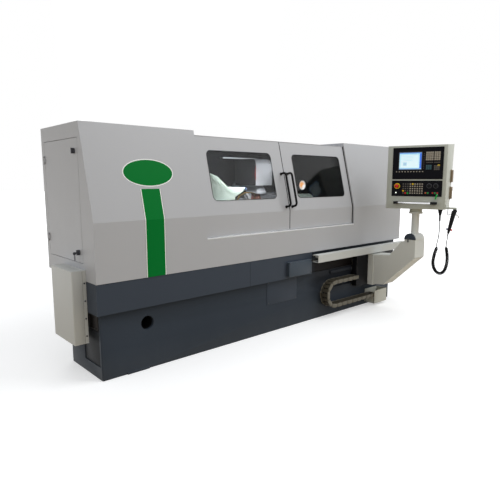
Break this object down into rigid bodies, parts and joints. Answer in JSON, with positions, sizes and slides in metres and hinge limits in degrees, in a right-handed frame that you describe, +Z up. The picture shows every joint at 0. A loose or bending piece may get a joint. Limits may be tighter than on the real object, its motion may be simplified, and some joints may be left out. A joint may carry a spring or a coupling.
{
  "type": "thread grinding machine",
  "caption": "Enclosed thread grinding machine on a cast bed, with sliding windowed doors, work and wheel heads, and a control pendant on a sliding arm.",
  "frame": {"origin": "on the floor, under the middle of the enclosure", "axes": "+X along the machine to the operator's right, +Y away from the operator, +Z up"},
  "size_m": [3.902, 1.83, 1.79],
  "materials": {
    "bed_paint": "semi-gloss slate paint on cast iron",
    "slate_paint": "semi-gloss slate paint",
    "enclosure_paint": "satin light grey powder coat",
    "chamber_paint": "satin dark grey",
    "beige_paint": "fine-textured beige-grey powder coat",
    "black_steel": "satin black",
    "lamp_glass": "clear tube and lamp lens",
    "chain_plastic": "moulded polyamide",
    "window_glass": "tinted laminated pane",
    "ground_steel": "ground and oiled",
    "casting_paint": "pale green machine paint",
    "wheelhead_paint": "grey machine paint",
    "abrasive": "bonded abrasive",
    "khaki_plastic": "ribbed connector hoods",
    "black_plastic": "satin black front foil and mouldings",
    "red_plastic": "moulded",
    "green_plastic": "moulded",
    "orange_plastic": "moulded",
    "blue_plastic": "moulded",
    "handle_steel": "polished tube in black end blocks",
    "cord_rubber": "matte cord jacket"
  },
  "bodies": {
    "frame": {"machine_bed": "bed_paint", "front_skirt": "slate_paint", "base_covers": "slate_paint", "left_front_panel": "enclosure_paint", "left_end_panel": "enclosure_paint", "right_front_panel": "enclosure_paint", "right_end_panel": "enclosure_paint", "roof_panel": "enclosure_paint", "rear_panel": "enclosure_paint", "front_apron": "enclosure_paint", "chamber_walls": "chamber_paint", "junction_box": "beige_paint", "junction_box_lid": "beige_paint", "cover_screws": "black_steel", "work_lights": "lamp_glass", "slide_rail": "beige_paint", "chain_end_box": "beige_paint", "drag_chain": "chain_plastic"},
    "left_door": {"left_door": "enclosure_paint", "left_window": "window_glass", "left_door_handle": "black_steel"},
    "right_door": {"right_door": "enclosure_paint", "right_window": "window_glass", "right_door_handle": "black_steel"},
    "access_door": {"access_door": "enclosure_paint"},
    "upper_lock": {"upper_lock": "black_steel"},
    "lower_lock": {"lower_lock": "black_steel"},
    "work_table": {"work_table": "ground_steel", "workhead": "casting_paint", "tailstock": "casting_paint"},
    "work_spindle": {"work_spindle": "ground_steel"},
    "tailstock_quill": {"tailstock_quill": "ground_steel"},
    "wheelhead": {"wheelhead": "wheelhead_paint", "wheel_guard": "wheelhead_paint"},
    "grinding_wheel": {"grinding_wheel": "abrasive"},
    "pendant_arm": {"pendant_arm": "beige_paint"},
    "clamp_lever": {"clamp_lever": "black_plastic"},
    "pendant_post": {"pendant_post": "beige_paint"},
    "pendant": {"pendant_housing": "beige_paint", "service_connectors": "khaki_plastic", "operator_panel": "black_plastic", "control_panel": "black_plastic", "pendant_handle": "handle_steel", "handset": "black_plastic", "handset_holder": "black_steel", "cord_relief": "cord_rubber", "cord_lead_top": "cord_rubber", "cord_coil": "cord_rubber", "cord_lead_end": "cord_rubber"},
    "stop_button": {"stop_button": "red_plastic"},
    "feed_knob": {"feed_knob": "black_plastic"},
    "speed_knob": {"speed_knob": "black_plastic"},
    "key_switch": {"key_switch": "ground_steel"},
    "reset_button": {"reset_button": "orange_plastic"},
    "feed_start_button": {"feed_start_button": "green_plastic"},
    "feed_stop_button": {"feed_stop_button": "red_plastic"},
    "cycle_start_button": {"cycle_start_button": "green_plastic"},
    "cycle_stop_button": {"cycle_stop_button": "red_plastic"},
    "handset_stop": {"handset_stop": "red_plastic"},
    "handset_enable": {"handset_enable": "blue_plastic"}
  },
  "joints": [
    {"name": "left_door_slide", "type": "slide", "parent": "frame", "child": "left_door", "axis": [-1, 0, 0], "range_m": [0, 0.88]},
    {"name": "right_door_slide", "type": "slide", "parent": "frame", "child": "right_door", "axis": [1, 0, 0], "range_m": [0, 0.88]},
    {"name": "access_door_hinge", "type": "hinge", "parent": "frame", "child": "access_door", "pos_m": [-1.906, 0.387, 1.255], "axis": [0, 0, -1], "range_deg": [0, 110]},
    {"name": "upper_lock_turn", "type": "hinge", "parent": "access_door", "child": "upper_lock", "pos_m": [-1.9, -0.187, 1.598], "axis": [-1, 0, 0], "range_deg": [0, 90]},
    {"name": "lower_lock_turn", "type": "hinge", "parent": "access_door", "child": "lower_lock", "pos_m": [-1.9, -0.187, 0.898], "axis": [-1, 0, 0], "range_deg": [0, 90]},
    {"name": "table_traverse", "type": "slide", "parent": "frame", "child": "work_table", "axis": [1, 0, 0], "range_m": [-0.12, 0.2]},
    {"name": "work_spindle_spin", "type": "hinge", "parent": "work_table", "child": "work_spindle", "pos_m": [-0.6, -0.11, 1.18], "axis": [1, 0, 0], "continuous": true},
    {"name": "quill_slide", "type": "slide", "parent": "work_table", "child": "tailstock_quill", "axis": [1, 0, 0], "range_m": [-0.06, 0.02]},
    {"name": "wheelhead_infeed", "type": "slide", "parent": "frame", "child": "wheelhead", "axis": [0, -1, 0], "range_m": [0, 0.08]},
    {"name": "grinding_wheel_spin", "type": "hinge", "parent": "wheelhead", "child": "grinding_wheel", "pos_m": [0.2, 0.185, 1.18], "axis": [1, 0, 0], "continuous": true},
    {"name": "pendant_arm_slide", "type": "slide", "parent": "frame", "child": "pendant_arm", "axis": [1, 0, 0], "range_m": [-0.28, 0.36], "deforming": ["drag_chain"]},
    {"name": "clamp_lever_turn", "type": "hinge", "parent": "pendant_arm", "child": "clamp_lever", "pos_m": [1.1995, -0.948, 0.806], "axis": [1, 0, 0], "range_deg": [-45, 45]},
    {"name": "pendant_tilt", "type": "hinge", "parent": "pendant_arm", "child": "pendant_post", "pos_m": [1.305, -0.962, 0.8], "axis": [1, 0, 0], "range_deg": [-10, 10]},
    {"name": "pendant_swivel", "type": "hinge", "parent": "pendant_post", "child": "pendant", "pos_m": [1.305, -0.962, 1.1], "axis": [0, 0, 1], "range_deg": [-20, 90]},
    {"name": "stop_button_push", "type": "slide", "parent": "pendant", "child": "stop_button", "axis": [0.9613, 0.2756, 0], "range_m": [0, 0.006]},
    {"name": "feed_knob_turn", "type": "hinge", "parent": "pendant", "child": "feed_knob", "pos_m": [1.22275, -1.13227, 1.344], "axis": [0.9613, 0.2756, 0], "range_deg": [-135, 135]},
    {"name": "speed_knob_turn", "type": "hinge", "parent": "pendant", "child": "speed_knob", "pos_m": [1.23956, -1.19091, 1.344], "axis": [0.9613, 0.2756, 0], "range_deg": [-135, 135]},
    {"name": "key_switch_turn", "type": "hinge", "parent": "pendant", "child": "key_switch", "pos_m": [1.2448, -1.20917, 1.26], "axis": [0.9613, 0.2756, 0], "range_deg": [-90, 0]},
    {"name": "reset_button_push", "type": "slide", "parent": "pendant", "child": "reset_button", "axis": [0.9613, 0.2756, 0], "range_m": [0, 0.004], "stiffness_N_per_m": 300, "springref_m": -0.002},
    {"name": "feed_start_button_push", "type": "slide", "parent": "pendant", "child": "feed_start_button", "axis": [0.9613, 0.2756, 0], "range_m": [0, 0.004], "stiffness_N_per_m": 300, "springref_m": -0.002},
    {"name": "feed_stop_button_push", "type": "slide", "parent": "pendant", "child": "feed_stop_button", "axis": [0.9613, 0.2756, 0], "range_m": [0, 0.004], "stiffness_N_per_m": 300, "springref_m": -0.002},
    {"name": "cycle_start_button_push", "type": "slide", "parent": "pendant", "child": "cycle_start_button", "axis": [0.9613, 0.2756, 0], "range_m": [0, 0.004], "stiffness_N_per_m": 300, "springref_m": -0.002},
    {"name": "cycle_stop_button_push", "type": "slide", "parent": "pendant", "child": "cycle_stop_button", "axis": [0.9613, 0.2756, 0], "range_m": [0, 0.004], "stiffness_N_per_m": 300, "springref_m": -0.002},
    {"name": "handset_stop_push", "type": "slide", "parent": "pendant", "child": "handset_stop", "axis": [-0.2706, 0.9436, 0.1908], "range_m": [0, 0.004]},
    {"name": "handset_enable_push", "type": "slide", "parent": "pendant", "child": "handset_enable", "axis": [0.2706, -0.9436, -0.1908], "range_m": [0, 0.004], "stiffness_N_per_m": 300, "springref_m": -0.002}
  ]
}
